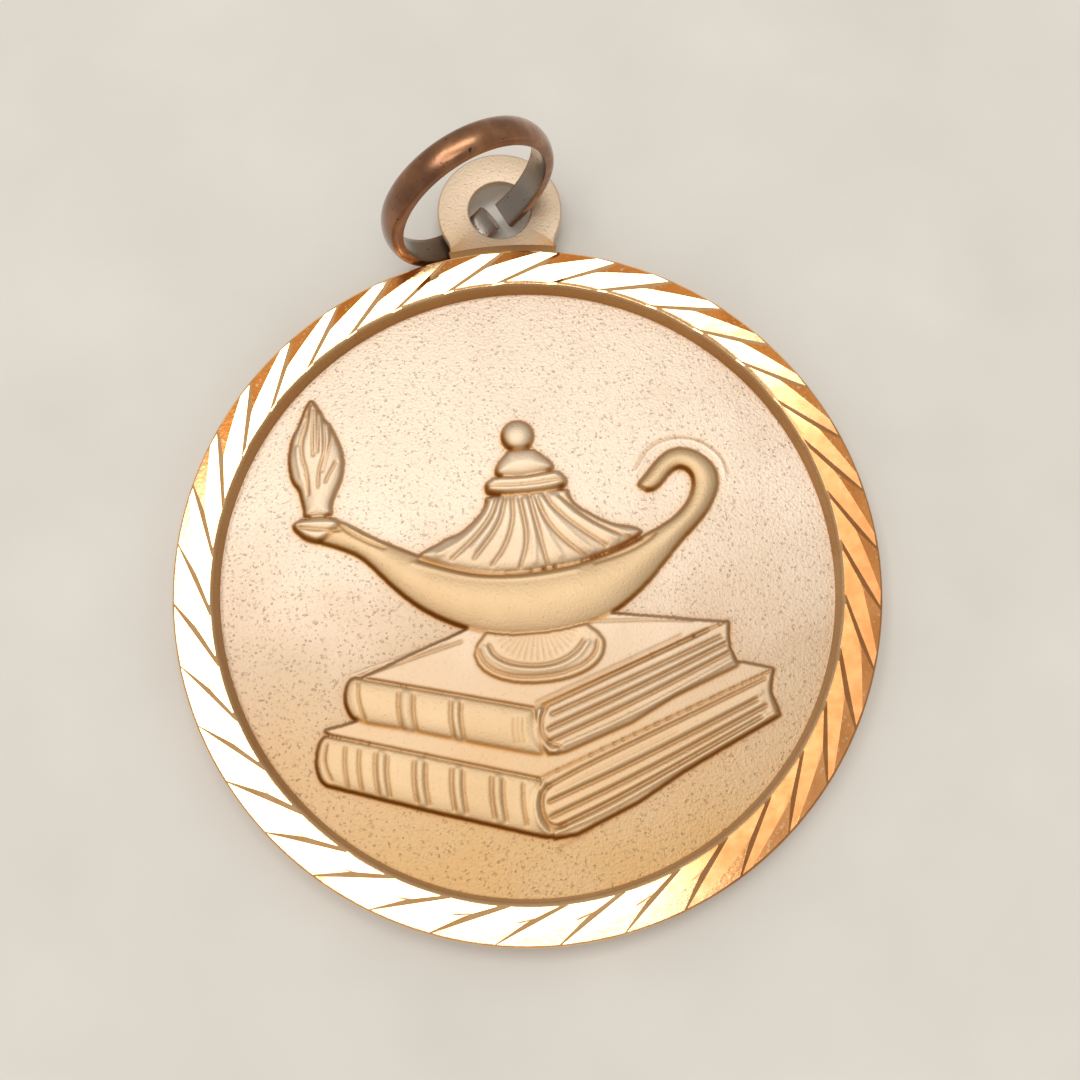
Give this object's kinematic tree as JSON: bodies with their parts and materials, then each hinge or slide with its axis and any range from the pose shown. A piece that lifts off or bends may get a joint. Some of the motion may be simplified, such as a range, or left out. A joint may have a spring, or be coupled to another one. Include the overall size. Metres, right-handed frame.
{
  "type": "academic medallion",
  "caption": "Round struck bronze school medal with a raised lamp of learning on books, a slant-cut bright rim, a suspension loop and a flattened copper jump ring.",
  "frame": {"origin": "centre of the round disc on its flat back face, which lies on the table", "axes": "+Z out of the medal's face, +Y from the disc's centre towards the suspension loop, +X to the right as the face is read"},
  "size_m": [0.032, 0.0375, 0.0092],
  "materials": {
    "struck_bronze": "satin struck bronze with polished rim cuts",
    "copper_wire": "antiqued copper"
  },
  "bodies": {
    "root": {"medallion": "struck_bronze", "jump_ring": "copper_wire"}
  },
  "joints": []
}
